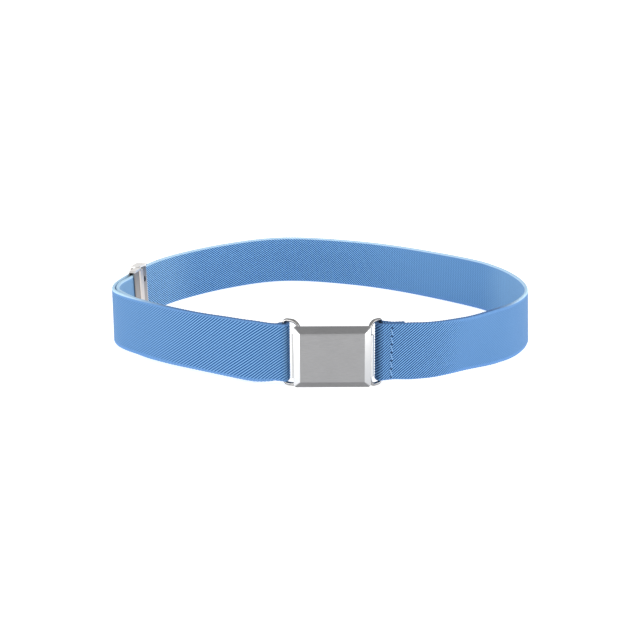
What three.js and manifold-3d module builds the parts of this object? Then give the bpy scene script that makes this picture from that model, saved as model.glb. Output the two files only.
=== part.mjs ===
// A child's elastic belt of one-inch webbing, fastened and standing on its lower edge.
// Millimetres, +Z up, the buckle at -Y, the slide adjuster inside the loop at its left.

import * as THREE from 'three';
import { mergeVertices } from 'three/addons/utils/BufferGeometryUtils.js';
import Module from 'manifold-3d';

const wasm = await Module();
wasm.setup();

// Strap: one length of woven elastic.
const STRAP_WIDTH = 25.4;
const STRAP_THICKNESS = 1.5;
const STRAP_STEP = 3.2; // spacing of the outline's points along the strap
const FOLD_STEPS = 10; // segments round each ring leg
const CLEARANCE = 0.3; // gap kept between pieces that rest on each other
const EASED_STEPS = 6; // segments where a second layer closes up on the first

// The strap's middle line in plan, outer layer, from the right ring round the back to the left ring.
const STATIONS = [
  { place: 'right ring', x: 25.6, y: -71.6 },
  { place: 'front right', x: 51.6, y: -65.3 },
  { place: 'front right corner', x: 81.6, y: -44.3 },
  { place: 'right end', x: 95.6, y: -15.3 },
  { place: 'back right corner', x: 86.6, y: 20.7 },
  { place: 'back right', x: 56.1, y: 50.2 },
  { place: 'back middle', x: 20.1, y: 71.2 },
  { place: 'rearmost', x: -19.9, y: 80.2 },
  { place: 'back left', x: -50.9, y: 65.7 },
  { place: 'back left corner', x: -78.4, y: 37.7 },
  { place: 'slide', x: -90.9, y: 8.2 },
  { place: 'left end', x: -94.4, y: -23.3 },
  { place: 'front left corner', x: -70.4, y: -46.8 },
  { place: 'front left', x: -36.9, y: -65.8 },
  { place: 'left ring', x: -15.3, y: -71.9 },
];

// Wire rings that join the strap to the buckle halves.
const WIRE_RADIUS = 0.8;
const WIRE_SIDES = 10;
const RING_REACH = 7.4; // between the middles of the two legs
const RING_HEIGHT = 28.5; // over the wire
const RING_CORNERS = { strap: 1.7, knuckle: 3.6 }; // corner radii on the wire's middle line
const RING_STEPS = 72;

// How the belt rests: on both rings, on the slide and on its own lower edge along the back.
// The strap's lower edge slopes up from there to the hardware, which reaches lower than the strap.
const EDGE_SLOPE = { atOrigin: 0.913, alongX: -0.00488, alongY: -0.01303 };
const RINGS_Z = 14.15;
// Where the strap hangs lower than that slope, but never under its resting level.
const LOWERED = [
  { place: 'left ring', x: -15, y: -70, full: 10, none: 26, down: 0.38 },
  { place: 'right ring', x: 25, y: -70, full: 10, none: 26, down: 0.18 },
  { place: 'front right', x: 62, y: -60, full: 16, none: 42, down: 0.75 },
  { place: 'right end', x: 95, y: -20, full: 24, none: 50, down: 1 },
];
// Where the strap's lower edge stands out past its upper edge, and by how much; less than 0 is inwards.
const LEANING = [
  { place: 'buckle', x: 5, y: -71.8, full: 34, none: 80, out: 3.1, toX: 0, toY: -1 },
  { place: 'front right', x: 52, y: -65.3, full: 10, none: 30, out: -4, toX: 0.2, toY: -0.98 },
  { place: 'front left corner', x: -82.9, y: -47.3, full: 10, none: 40, out: 3, toX: -0.86, toY: -0.5 },
];
const PINCH = 0.05; // share of its width that the strap loses where a ring gathers it
const PINCH_REACH = { full: 4, none: 14 };

// Second layers, inside the loop. Each row gives the distance between the middles of the two layers.
const FOLD_OFFSET = STRAP_THICKNESS + 2 * (WIRE_RADIUS + CLEARANCE);
const TAIL_LAYER = [
  { along: 0, offset: FOLD_OFFSET },
  { along: 5, offset: 1.9 },
  { along: 9.5, offset: 1.9 },
];
const INNER_LAYER = [
  { along: 0, offset: FOLD_OFFSET },
  { along: 9, offset: 2.2 },
  { along: 111, offset: 2.2 },
  { along: 119, offset: 2.7 },
  { along: 123.2, offset: 2.7 },
];

// Buckle: a pressed front half over a plain back half.
const BUCKLE_X = 5;
const BUCKLE_SAG = 0.65; // the plates hang a little low in their rings
const BUCKLE_Z = RINGS_Z - BUCKLE_SAG;
const BUCKLE_LEAN = Math.atan2(LEANING[0].out, STRAP_WIDTH);
const FACE_Y = -79.7;
const PLATE_WIDTH = 31.6;
const PLATE_HEIGHT = 25.5;
const PLATE_CORNER = 1.2;
const FACE_CORNER = 0.3; // of the flat face, inside the chamfer
const CHAMFER_WIDTH = 2.7;
const CHAMFER_DEPTH = 2.2;
const RIM_DEPTH = 0.8;
const PLATE_WALL = 0.8;
const RIM_Y = FACE_Y + CHAMFER_DEPTH + RIM_DEPTH;
const KNUCKLE_LENGTH = 17.5;
const KNUCKLE_BORE = WIRE_RADIUS + CLEARANCE;
const KNUCKLE_RADIUS = KNUCKLE_BORE + 0.6; // rolled from sheet 0.6 thick
const KNUCKLE_SIDES = 24;
const RIGHT_KNUCKLE_X = 20.3;
const LEFT_KNUCKLE_X = -8.5;
const FLANGE = { left: -15, right: 12.9, height: 23.2, thickness: 0.9 };
const FLANGE_TAB = { reach: 1.6, height: 18.4 };
const BOSS = { width: 24, height: 18, top: 1.85 };

// Slide adjuster. u runs along the strap towards the back, n into the loop, both from the slide's middle.
const SLIDE_ALONG = 128; // from the left ring, along the strap, to the slide's middle
const SLIDE_LENGTH = 17;
const SLIDE_HEIGHT = 28.8;
const SHEET = 0.6;
const WALL = 0.8;
const CHANNEL = 1.2; // half the room for the strap that runs through
const BASE_LEFT = -0.5; // where the plate behind the strap begins
const JAW = { right: -3.8, low: 1.65, high: 3.75, floor: 0.45, bevel: 0.3 };
const EAR = {
  jawTop: 4.4,
  jawRound: 1,
  pivotRound: 2,
  dip: 2.4,
  dipLength: 1,
  farTop: 3.9,
  farMiddle: 6,
  farRound: 2,
  farStart: 0.25 * Math.PI,
  farEnd: 0.8 * Math.PI,
};
const PLATE_ROUND = 1.6;
const PLATE_ROUND_STEPS = 5;
const TRIM_LEVELS = [-4, 8]; // the rounded outline that trims the end walls reaches over these levels of n
const PIVOT = { u: -1.7, n: 2.75 };
const BARREL_RADIUS = 1.4;
const PIN_RADIUS = 0.7;
const PIN_BORE = 0.95;
const PIN_INSET = 0.1; // the pin's ends stay this far inside the end walls
const LEVER_GAP = 0.4; // between the lever and the slide's end walls
const LEVER = { sheet: 0.7, stepStart: 1.2, stepEnd: 1.9, stepDown: 0.8, bend: 5.8, tip: 8.5, tipLow: 1.35 };
const TEETH = { count: 13, depth: 1.1, cutLength: 4 };
const EYE = { u: 4.2, halfWidth: 0.9, halfHeight: 1.5, fromMiddle: 7.3, cutLength: 8 };

const BLUE_ELASTIC = { color: 0x6a9edb, roughness: 0.85, metalness: 0 };
const SATIN_STEEL = { color: 0xa9a9aa, roughness: 0.38, metalness: 1 };
const BRIGHT_WIRE = { color: 0xc4c4c6, roughness: 0.25, metalness: 1 };
const SLIDE_STEEL = { color: 0xb5b2ae, roughness: 0.35, metalness: 1 };

// Solids: three.js geometry in, joined and cut, three.js geometry out.

function toSolid(geometry) {
  const bare = geometry.clone();
  for (const name of Object.keys(bare.attributes)) {
    if (name !== 'position') bare.deleteAttribute(name);
  }
  const merged = mergeVertices(bare, 1e-4);
  return new wasm.Manifold(new wasm.Mesh({
    numProp: 3,
    vertProperties: new Float32Array(merged.attributes.position.array),
    triVerts: new Uint32Array(merged.index.array),
  }));
}

function toGeometry(solid) {
  const mesh = solid.getMesh();
  const geometry = new THREE.BufferGeometry();
  geometry.setAttribute('position', new THREE.BufferAttribute(mesh.vertProperties, 3));
  geometry.setIndex(new THREE.BufferAttribute(mesh.triVerts, 1));
  geometry.computeVertexNormals();
  return geometry;
}

function joined(solids) {
  return solids.reduce((whole, next) => whole.add(next));
}

function cut(solid, cutters) {
  return cutters.reduce((whole, next) => whole.subtract(next), solid);
}

function namedMesh(name, geometry, finish) {
  const mesh = new THREE.Mesh(geometry, new THREE.MeshStandardMaterial(finish));
  mesh.name = name;
  return mesh;
}

function boxSolid(low, high) {
  const size = high.map((value, k) => value - low[k]);
  const geometry = new THREE.BoxGeometry(...size);
  geometry.translate(...low.map((value, k) => value + size[k] / 2));
  return toSolid(geometry);
}

function roundedRectangle(width, height, radius, leftRadius = radius) {
  const [w, h] = [width / 2, height / 2];
  const shape = new THREE.Shape();
  shape.moveTo(-w + leftRadius, -h);
  shape.lineTo(w - radius, -h);
  shape.absarc(w - radius, -h + radius, radius, -Math.PI / 2, 0, false);
  shape.lineTo(w, h - radius);
  shape.absarc(w - radius, h - radius, radius, 0, Math.PI / 2, false);
  shape.lineTo(-w + leftRadius, h);
  shape.absarc(-w + leftRadius, h - leftRadius, leftRadius, Math.PI / 2, Math.PI, false);
  shape.lineTo(-w, -h + leftRadius);
  shape.absarc(-w + leftRadius, -h + leftRadius, leftRadius, Math.PI, 1.5 * Math.PI, false);
  return shape;
}

// Route of the strap in plan.

const route = new THREE.CatmullRomCurve3(
  STATIONS.map(({ x, y }) => new THREE.Vector3(x, y, 0)), false, 'catmullrom', 0.5);
route.arcLengthDivisions = 3000;
const ROUTE_LENGTH = route.getLength();

// The point of the route at a distance from its start, moved into the loop by an offset.
function routePoint(along, offset) {
  const share = THREE.MathUtils.clamp(along / ROUTE_LENGTH, 0, 1);
  const point = route.getPointAt(share);
  const tangent = route.getTangentAt(share);
  return new THREE.Vector2(point.x - tangent.y * offset, point.y + tangent.x * offset);
}

function easedOffset(rows, along) {
  const last = rows.findIndex((row) => row.along >= along);
  if (last <= 0) return rows[0].offset;
  const [from, to] = [rows[last - 1], rows[last]];
  const share = THREE.MathUtils.smoothstep(along, from.along, to.along);
  return THREE.MathUtils.lerp(from.offset, to.offset, share);
}

const RIGHT_LEG = routePoint(0, FOLD_OFFSET / 2);
const LEFT_LEG = routePoint(ROUTE_LENGTH, FOLD_OFFSET / 2);

// Points of a fold round a ring leg, from one layer to the other, without the two ends.
function foldPoints(leg, from) {
  const start = from.clone().sub(leg);
  return Array.from({ length: FOLD_STEPS - 1 }, (_, k) => {
    const turned = start.clone().rotateAround(new THREE.Vector2(), ((k + 1) / FOLD_STEPS) * Math.PI);
    return turned.add(leg);
  });
}

function spread(from, to) {
  const count = Math.max(2, Math.round(Math.abs(to - from) / STRAP_STEP));
  return Array.from({ length: count + 1 }, (_, k) => THREE.MathUtils.lerp(from, to, k / count));
}

// Finer spacing where a second layer closes up on the first.
function layerSteps(rows) {
  const stops = rows.slice(1).flatMap((row, k) => {
    const start = rows[k].along;
    const even = Math.max(1, Math.round((row.along - start) / STRAP_STEP));
    const count = rows[k].offset === row.offset ? even : EASED_STEPS;
    return Array.from({ length: count }, (_, i) => THREE.MathUtils.lerp(start, row.along, (i + 1) / count));
  });
  return [0, ...stops];
}

function strapMiddleLine() {
  const tail = layerSteps(TAIL_LAYER).reverse().map((s) => routePoint(s, easedOffset(TAIL_LAYER, s)));
  const outer = spread(0, ROUTE_LENGTH).map((s) => routePoint(s, 0));
  const inner = layerSteps(INNER_LAYER).map(
    (s) => routePoint(ROUTE_LENGTH - s, easedOffset(INNER_LAYER, s)));
  return [
    ...tail,
    ...foldPoints(RIGHT_LEG, tail.at(-1)),
    ...outer,
    ...foldPoints(LEFT_LEG, outer.at(-1)),
    ...inner,
  ];
}

// One side of the strap: the middle line moved sideways by a distance.
function side(line, distance) {
  return line.map((point, k) => {
    const before = line[Math.max(0, k - 1)];
    const after = line[Math.min(line.length - 1, k + 1)];
    const along = after.clone().sub(before).normalize();
    return new THREE.Vector2(point.x - along.y * distance, point.y + along.x * distance);
  });
}

function nearness(x, y, spot) {
  return 1 - THREE.MathUtils.smoothstep(Math.hypot(x - spot.x, y - spot.y), spot.full, spot.none);
}

// How far above its resting level the strap's lower edge is.
function edgeRise(x, y) {
  const slope = EDGE_SLOPE.atOrigin + EDGE_SLOPE.alongX * x + EDGE_SLOPE.alongY * y;
  const lowered = Math.max(...LOWERED.map((spot) => spot.down * nearness(x, y, spot)));
  return Math.max(0, slope - lowered);
}

// Gives the upright strap its slope, its lean and its narrowing at the rings.
function settle(geometry) {
  const points = geometry.attributes.position;
  for (let k = 0; k < points.count; k += 1) {
    const [x, y, z] = [points.getX(k), points.getY(k), points.getZ(k)];
    const gathered = Math.max(...[RIGHT_LEG, LEFT_LEG].map(
      (leg) => nearness(x, y, { ...leg, ...PINCH_REACH })));
    const narrower = PINCH * gathered * (STRAP_WIDTH / 2 - z);
    const moved = new THREE.Vector3(x, y, z + edgeRise(x, y) + narrower);
    for (const spot of LEANING) {
      const out = spot.out * nearness(x, y, spot) * (0.5 - z / STRAP_WIDTH);
      moved.x += out * spot.toX;
      moved.y += out * spot.toY;
    }
    points.setXYZ(k, ...moved);
  }
  return geometry;
}

function elasticStrap() {
  const line = strapMiddleLine();
  const outline = [...side(line, STRAP_THICKNESS / 2), ...side(line, -STRAP_THICKNESS / 2).reverse()];
  const upright = new THREE.ExtrudeGeometry(new THREE.Shape(outline), {
    depth: STRAP_WIDTH,
    bevelEnabled: false,
    curveSegments: 1,
  });
  return namedMesh('elastic_strap', settle(upright), BLUE_ELASTIC);
}

// Rings.

// A knuckle's middle, forward of the strap's leg by what is left of the ring's reach.
function knuckleAt(leg, x) {
  return new THREE.Vector2(x, leg.y - Math.sqrt(RING_REACH ** 2 - (leg.x - x) ** 2));
}

const RIGHT_KNUCKLE = knuckleAt(RIGHT_LEG, RIGHT_KNUCKLE_X);
const LEFT_KNUCKLE = knuckleAt(LEFT_LEG, LEFT_KNUCKLE_X);

function wireRing(name, knuckle, leg) {
  const height = RING_HEIGHT - 2 * WIRE_RADIUS;
  const outline = roundedRectangle(RING_REACH, height, RING_CORNERS.strap, RING_CORNERS.knuckle);
  const points = outline.getSpacedPoints(RING_STEPS).slice(0, -1);
  const loop = new THREE.CatmullRomCurve3(points.map(({ x, y }) => new THREE.Vector3(x, 0, y)), true);
  const wire = new THREE.TubeGeometry(loop, RING_STEPS, WIRE_RADIUS, WIRE_SIDES, true);
  const ring = namedMesh(name, wire, BRIGHT_WIRE);
  const middle = knuckle.clone().lerp(leg, 0.5);
  ring.position.set(middle.x, middle.y, RINGS_Z);
  ring.rotation.z = leg.clone().sub(knuckle).angle();
  return ring;
}

// Buckle halves, modelled face up in the XY plane with the rim at Z = 0, then stood up to face -Y.

function pressedForm(width, height, corner) {
  const face = roundedRectangle(width - 2 * CHAMFER_WIDTH, height - 2 * CHAMFER_WIDTH, corner);
  const both = new THREE.ExtrudeGeometry(face, {
    depth: RIM_DEPTH,
    bevelSegments: 1,
    bevelSize: CHAMFER_WIDTH,
    bevelThickness: CHAMFER_DEPTH,
    curveSegments: 3,
  });
  const behind = boxSolid([-width, -height, -2 * CHAMFER_DEPTH], [width, height, 0]);
  return toSolid(both).subtract(behind);
}

function buckleLocal(point) {
  return { x: point.x - BUCKLE_X, z: RIM_Y - point.y };
}

function knuckleTube(point, radius, length) {
  const { x, z } = buckleLocal(point);
  const tube = new THREE.CylinderGeometry(radius, radius, length, KNUCKLE_SIDES);
  tube.translate(x, 0, z);
  return toSolid(tube);
}

function withKnuckle(solid, point) {
  const bore = knuckleTube(point, KNUCKLE_BORE, 2 * KNUCKLE_LENGTH);
  return cut(joined([solid, knuckleTube(point, KNUCKLE_RADIUS, KNUCKLE_LENGTH)]), [bore]);
}

function standUp(name, solid) {
  const half = namedMesh(name, toGeometry(solid), SATIN_STEEL);
  half.position.set(BUCKLE_X, RIM_Y, BUCKLE_Z);
  half.rotation.x = Math.PI / 2;
  return half;
}

function buckleFrontPlate() {
  const form = pressedForm(PLATE_WIDTH, PLATE_HEIGHT, FACE_CORNER);
  const hollow = pressedForm(PLATE_WIDTH - 2 * PLATE_WALL, PLATE_HEIGHT - 2 * PLATE_WALL, FACE_CORNER);
  const corners = new THREE.ExtrudeGeometry(roundedRectangle(PLATE_WIDTH, PLATE_HEIGHT, PLATE_CORNER), {
    depth: RIM_DEPTH + CHAMFER_DEPTH,
    bevelEnabled: false,
    curveSegments: 4,
  });
  const tray = form.intersect(toSolid(corners)).subtract(hollow.translate([0, 0, -PLATE_WALL]));
  return standUp('buckle_front_plate', withKnuckle(tray, RIGHT_KNUCKLE));
}

function buckleBackPlate() {
  const [top, bottom] = [-CLEARANCE, -CLEARANCE - FLANGE.thickness];
  const flange = boxSolid(
    [FLANGE.left, -FLANGE.height / 2, bottom],
    [FLANGE.right, FLANGE.height / 2, top]);
  const tab = boxSolid(
    [FLANGE.left - FLANGE_TAB.reach, -FLANGE_TAB.height / 2, bottom],
    [FLANGE.left + FLANGE_TAB.reach, FLANGE_TAB.height / 2, top]);
  const boss = boxSolid(
    [-BOSS.width / 2, -BOSS.height / 2, bottom],
    [BOSS.width / 2, BOSS.height / 2, BOSS.top]);
  return standUp('buckle_back_plate', withKnuckle(joined([flange, tab, boss]), LEFT_KNUCKLE));
}

// Slide adjuster, modelled with u along X and n along Y, standing from Z = 0.

function upright(shape, from, to) {
  const geometry = new THREE.ExtrudeGeometry(shape, {
    depth: to - from,
    bevelEnabled: false,
    curveSegments: 6,
  });
  geometry.translate(0, 0, from);
  return toSolid(geometry);
}

function pinAt(radius, from, to) {
  const circle = new THREE.Shape();
  circle.absarc(PIVOT.u, PIVOT.n, radius, 0, 2 * Math.PI, false);
  return upright(circle, from, to);
}

// An end wall: a high ear over the jaw and the pivot, a dip, and a rounded ear at the far end.
// It stops short of the strap that runs through, up to where the plate behind that strap begins.
function earShape() {
  const half = SLIDE_LENGTH / 2;
  const dipEnd = PIVOT.u + EAR.pivotRound + EAR.dipLength + EAR.dipLength / 2;
  const shape = new THREE.Shape();
  shape.moveTo(-half, JAW.low - JAW.floor);
  shape.lineTo(BASE_LEFT, JAW.low - JAW.floor);
  shape.lineTo(BASE_LEFT, -CHANNEL - SHEET);
  shape.lineTo(half, -CHANNEL - SHEET);
  shape.lineTo(half, EAR.farTop - EAR.farRound);
  shape.absarc(EAR.farMiddle, EAR.farTop - EAR.farRound, EAR.farRound, EAR.farStart, EAR.farEnd, false);
  shape.lineTo(dipEnd, EAR.dip);
  shape.lineTo(dipEnd - EAR.dipLength, EAR.dip);
  shape.absarc(PIVOT.u, EAR.jawTop - EAR.pivotRound, EAR.pivotRound, 0, Math.PI / 2, false);
  shape.absarc(-half + EAR.jawRound, EAR.jawTop - EAR.jawRound, EAR.jawRound, Math.PI / 2, Math.PI, false);
  return shape;
}

// The jaw that holds the strap's end: a fold of sheet, open to the left.
function jawShape() {
  const left = -SLIDE_LENGTH / 2;
  const top = JAW.high + SHEET;
  const shape = new THREE.Shape();
  shape.moveTo(left, JAW.low - JAW.floor);
  shape.lineTo(JAW.right, JAW.low - JAW.floor);
  shape.lineTo(JAW.right, top - JAW.bevel);
  shape.lineTo(JAW.right - JAW.bevel, top);
  shape.lineTo(left + JAW.bevel, top);
  shape.lineTo(left, top - JAW.bevel);
  shape.lineTo(left, JAW.high);
  shape.lineTo(JAW.right - SHEET, JAW.high);
  shape.lineTo(JAW.right - SHEET, JAW.low);
  shape.lineTo(left, JAW.low);
  return shape;
}

// The plate's rounded outline as a block between two levels of n.
function roundedBlock([from, to]) {
  const outline = roundedRectangle(SLIDE_LENGTH, SLIDE_HEIGHT, PLATE_ROUND);
  const block = new THREE.ExtrudeGeometry(outline, {
    depth: to - from,
    bevelEnabled: false,
    curveSegments: PLATE_ROUND_STEPS,
  });
  block.rotateX(Math.PI / 2);
  block.translate(0, to, SLIDE_HEIGHT / 2);
  return toSolid(block);
}

function slideFrame() {
  const trim = roundedBlock(TRIM_LEVELS);
  const leftOfBase = boxSolid(
    [-SLIDE_LENGTH, TRIM_LEVELS[0], -WALL],
    [BASE_LEFT, -CHANNEL + SHEET, SLIDE_HEIGHT + WALL]);
  const walls = [[0, WALL], [SLIDE_HEIGHT - WALL, SLIDE_HEIGHT]];
  const solid = joined([
    roundedBlock([-CHANNEL - SHEET, -CHANNEL]).subtract(leftOfBase),
    upright(jawShape(), WALL / 2, SLIDE_HEIGHT - WALL / 2),
    ...walls.map(([from, to]) => upright(earShape(), from, to).intersect(trim)),
  ]);
  const bores = walls.map(([from, to]) => pinAt(PIN_BORE, from - WALL, to + WALL));
  return namedMesh('slide_frame', toGeometry(cut(solid, bores)), SLIDE_STEEL);
}

// The lever's section: a rolled barrel, a raised band, a lower band and an edge bent down to the strap.
function leverShape() {
  const top = PIVOT.n + BARREL_RADIUS;
  const low = top - LEVER.stepDown;
  const shape = new THREE.Shape();
  shape.absarc(PIVOT.u, PIVOT.n, BARREL_RADIUS, Math.PI / 2, 1.75 * Math.PI, false);
  shape.lineTo(PIVOT.u + BARREL_RADIUS, top - LEVER.sheet);
  shape.lineTo(LEVER.stepStart, top - LEVER.sheet);
  shape.lineTo(LEVER.stepEnd, low - LEVER.sheet);
  shape.lineTo(LEVER.bend, low - LEVER.sheet);
  shape.lineTo(LEVER.tip - LEVER.sheet, LEVER.tipLow);
  shape.lineTo(LEVER.tip, LEVER.tipLow);
  shape.lineTo(LEVER.bend + LEVER.sheet, low);
  shape.lineTo(LEVER.stepEnd, low);
  shape.lineTo(LEVER.stepStart, top);
  return shape;
}

// Notches between the teeth, cut from the lever's lower edge.
function notches(from, to) {
  const pitch = (to - from) / TEETH.count;
  return Array.from({ length: TEETH.count - 1 }, (_, k) => {
    const middle = from + (k + 1) * pitch;
    const notch = new THREE.Shape([
      new THREE.Vector2(LEVER.tipLow - 1, middle - pitch / 2),
      new THREE.Vector2(LEVER.tipLow - 1, middle + pitch / 2),
      new THREE.Vector2(LEVER.tipLow + TEETH.depth, middle),
    ]);
    const wedge = new THREE.ExtrudeGeometry(notch, { depth: TEETH.cutLength, bevelEnabled: false });
    wedge.rotateY(Math.PI / 2).rotateX(Math.PI / 2);
    wedge.translate(LEVER.bend, 0, 0);
    return toSolid(wedge);
  });
}

// A slot through the lever for a fingernail.
function eye(height) {
  const oval = new THREE.Shape();
  oval.absellipse(EYE.u, height, EYE.halfWidth, EYE.halfHeight, 0, 2 * Math.PI, false, 0);
  const plug = new THREE.ExtrudeGeometry(oval, {
    depth: EYE.cutLength,
    bevelEnabled: false,
    curveSegments: 8,
  });
  plug.rotateX(Math.PI / 2);
  plug.translate(0, EYE.cutLength, 0);
  return toSolid(plug);
}

function slideLever() {
  const [from, to] = [WALL + LEVER_GAP, SLIDE_HEIGHT - WALL - LEVER_GAP];
  const eyes = [-1, 1].map((way) => eye(SLIDE_HEIGHT / 2 + way * EYE.fromMiddle));
  const plate = cut(upright(leverShape(), from, to), [...notches(from, to), ...eyes]);
  const pin = pinAt(PIN_RADIUS, PIN_INSET, SLIDE_HEIGHT - PIN_INSET);
  return namedMesh('slide_lever', toGeometry(plate.add(pin)), SLIDE_STEEL);
}

function slideAdjuster() {
  const share = 1 - SLIDE_ALONG / ROUTE_LENGTH;
  const middle = route.getPointAt(share);
  const tangent = route.getTangentAt(share);
  const adjuster = new THREE.Group();
  adjuster.add(slideFrame(), slideLever());
  adjuster.position.copy(middle);
  adjuster.rotation.z = Math.atan2(-tangent.y, -tangent.x);
  adjuster.scale.y = -1;
  return adjuster;
}

// The buckle and its rings, leaning back with the strap about the middle of the ring legs.
function leaningBuckle() {
  const pivot = new THREE.Vector3(0, RIGHT_LEG.y, RINGS_Z);
  const fittings = new THREE.Group();
  fittings.add(
    buckleFrontPlate(),
    buckleBackPlate(),
    wireRing('right_ring', RIGHT_KNUCKLE, RIGHT_LEG),
    wireRing('left_ring', LEFT_KNUCKLE, LEFT_LEG),
  );
  fittings.position.copy(pivot).negate();
  const leaning = new THREE.Group();
  leaning.add(fittings);
  leaning.position.copy(pivot);
  leaning.rotation.x = -BUCKLE_LEAN;
  return leaning;
}

const group = new THREE.Group();
group.add(elasticStrap(), leaningBuckle(), slideAdjuster());

export default group;
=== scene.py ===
import math

import bmesh
import bpy
import numpy as np
from mathutils import Matrix, Vector


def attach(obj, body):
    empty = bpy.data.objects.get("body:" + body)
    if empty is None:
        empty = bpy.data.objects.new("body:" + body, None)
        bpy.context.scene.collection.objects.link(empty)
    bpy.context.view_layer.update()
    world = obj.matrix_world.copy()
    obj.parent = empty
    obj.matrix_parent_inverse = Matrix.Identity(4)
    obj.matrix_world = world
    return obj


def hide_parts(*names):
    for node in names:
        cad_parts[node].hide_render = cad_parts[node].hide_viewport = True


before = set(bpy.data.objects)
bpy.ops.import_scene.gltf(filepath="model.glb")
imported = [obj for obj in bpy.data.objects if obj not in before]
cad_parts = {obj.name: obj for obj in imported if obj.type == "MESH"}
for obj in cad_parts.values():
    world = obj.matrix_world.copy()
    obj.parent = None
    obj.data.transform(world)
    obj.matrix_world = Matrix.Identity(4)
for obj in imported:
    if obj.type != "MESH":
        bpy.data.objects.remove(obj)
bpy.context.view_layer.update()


# The strap: one length of one-inch woven elastic, with twill ribs on both faces and a selvedge along each
# edge. It starts in a short tail behind the right ring, folds round that ring, goes all the way round the
# waist, folds round the left ring and runs back inside itself to the slide's jaw.

MM = 0.001
STRAP_WIDTH = 25.4
STRAP_THICKNESS = 1.5
FOLD_OFFSET = 3.7  # how far the layer that comes back from a ring lies inside the outer layer there
# Where the middle of the outer layer passes, seen from above, from the right ring round to the left one.
STATIONS = np.array([
    (25.6, -71.6),
    (51.6, -65.3),
    (81.6, -44.3),
    (95.6, -15.3),
    (86.6, 20.7),
    (56.1, 50.2),
    (20.1, 71.2),
    (-19.9, 80.2),
    (-50.9, 65.7),
    (-78.4, 37.7),
    (-90.9, 8.2),
    (-94.4, -23.3),
    (-70.4, -46.8),
    (-36.9, -65.8),
    (-15.3, -71.9),
])
# The tail and the inner layer: distances from their ring, and how far inside the outer layer they lie there.
TAIL_LAYER = ([0, 5, 9.5], [FOLD_OFFSET, 1.9, 1.9])
INNER_LAYER = ([0, 9, 45, 75, 107, 119, 123.2], [FOLD_OFFSET, 2.2, 2.2, 1.85, 1.85, 2.7, 2.7])
TAIL_STEPS, OUTER_STEPS, INNER_STEPS = 40, 2400, 500
RIGHT_FOLD = (0.7, 0.95)  # how squarely the strap turns round the ring's leg, and how far past it
LEFT_FOLD = (0.45, 0.8)
FOLD_POINTS = 23


def smoothstep(value, start, end):
    """0 up to the start, 1 from the end, smooth in between."""
    share = np.clip((value - start) / (end - start), 0, 1)
    return share * share * (3 - 2 * share)


def curve_through(stations, steps=80):
    """Points of the smooth curve that passes through the stations."""
    first = 2 * stations[0] - stations[1]
    last = 2 * stations[-1] - stations[-2]
    knots = np.vstack([first, stations, last])
    t = (np.arange(steps) / steps)[:, None]
    spans = []
    for before, start, end, after in zip(knots, knots[1:], knots[2:], knots[3:]):
        leaving = (end - before) / 2
        arriving = (after - start) / 2
        spans.append(
            (2 * t**3 - 3 * t**2 + 1) * start + (t**3 - 2 * t**2 + t) * leaving
            + (3 * t**2 - 2 * t**3) * end + (t**3 - t**2) * arriving)
    return np.vstack([*spans, stations[-1]])


def lengths_along(points):
    """How far along the line each of its points lies."""
    return np.concatenate([[0], np.cumsum(np.linalg.norm(np.diff(points, axis=0), axis=1))])


def left_normals(points):
    """At each point of a line, the direction to its left."""
    along = np.gradient(points, axis=0)
    along /= np.linalg.norm(along, axis=1)[:, None]
    return np.stack([-along[:, 1], along[:, 0]], axis=1)


route = curve_through(STATIONS)
route_lengths = lengths_along(route)
route_normals = left_normals(route)
ROUTE_LENGTH = route_lengths[-1]


def on_route(along, offset):
    """Points at a distance along the route, moved into the loop by the offset."""
    point = np.stack([np.interp(along, route_lengths, route[:, k]) for k in (0, 1)], axis=1)
    normal = np.stack([np.interp(along, route_lengths, route_normals[:, k]) for k in (0, 1)], axis=1)
    return point + normal * np.reshape(offset, (-1, 1))


def eased(along, rows):
    """The layer's offset at each distance, smoothed between the rows."""
    stops, offsets = rows
    found = np.full(len(along), float(offsets[0]))
    for start, end, low, high in zip(stops, stops[1:], offsets, offsets[1:]):
        share = smoothstep(along, start, end)
        found = np.where(along > start, low + (high - low) * share, found)
    return found


def fold_round(leg, start, squareness, reach):
    """Points of a fold round a ring's leg; the lower the squareness, the sharper it turns at its edge."""
    turn = np.linspace(0, math.pi, FOLD_POINTS + 2)[1:-1]
    ahead = np.sign(np.cos(turn)) * np.abs(np.cos(turn)) ** squareness
    sideways = reach * np.sin(turn) ** squareness
    arm = start - leg
    return np.stack([
        leg[0] + arm[0] * ahead - arm[1] * sideways,
        leg[1] + arm[0] * sideways + arm[1] * ahead], axis=1)


tail_steps = np.linspace(TAIL_LAYER[0][-1], 0, TAIL_STEPS)
outer_steps = np.linspace(0, ROUTE_LENGTH, OUTER_STEPS)
inner_steps = np.linspace(0, INNER_LAYER[0][-1], INNER_STEPS)
tail = on_route(tail_steps, eased(tail_steps, TAIL_LAYER))
outer = on_route(outer_steps, 0)
inner = on_route(ROUTE_LENGTH - inner_steps, eased(inner_steps, INNER_LAYER))
right_leg, left_leg = on_route(np.array([0, ROUTE_LENGTH]), FOLD_OFFSET / 2)
right_fold = fold_round(right_leg, tail[-1], *RIGHT_FOLD)
left_fold = fold_round(left_leg, outer[-1], *LEFT_FOLD)
middle_line = np.vstack([tail, right_fold, outer, left_fold, inner])
middle_lengths = lengths_along(middle_line)
middle_normals = -left_normals(middle_line)
STRAP_LENGTH = middle_lengths[-1]
OUTER_START = middle_lengths[TAIL_STEPS + FOLD_POINTS]
RIGHT_FOLD_MIDDLE = middle_lengths[TAIL_STEPS + FOLD_POINTS // 2]
INNER_START = STRAP_LENGTH - INNER_LAYER[0][-1]

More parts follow.
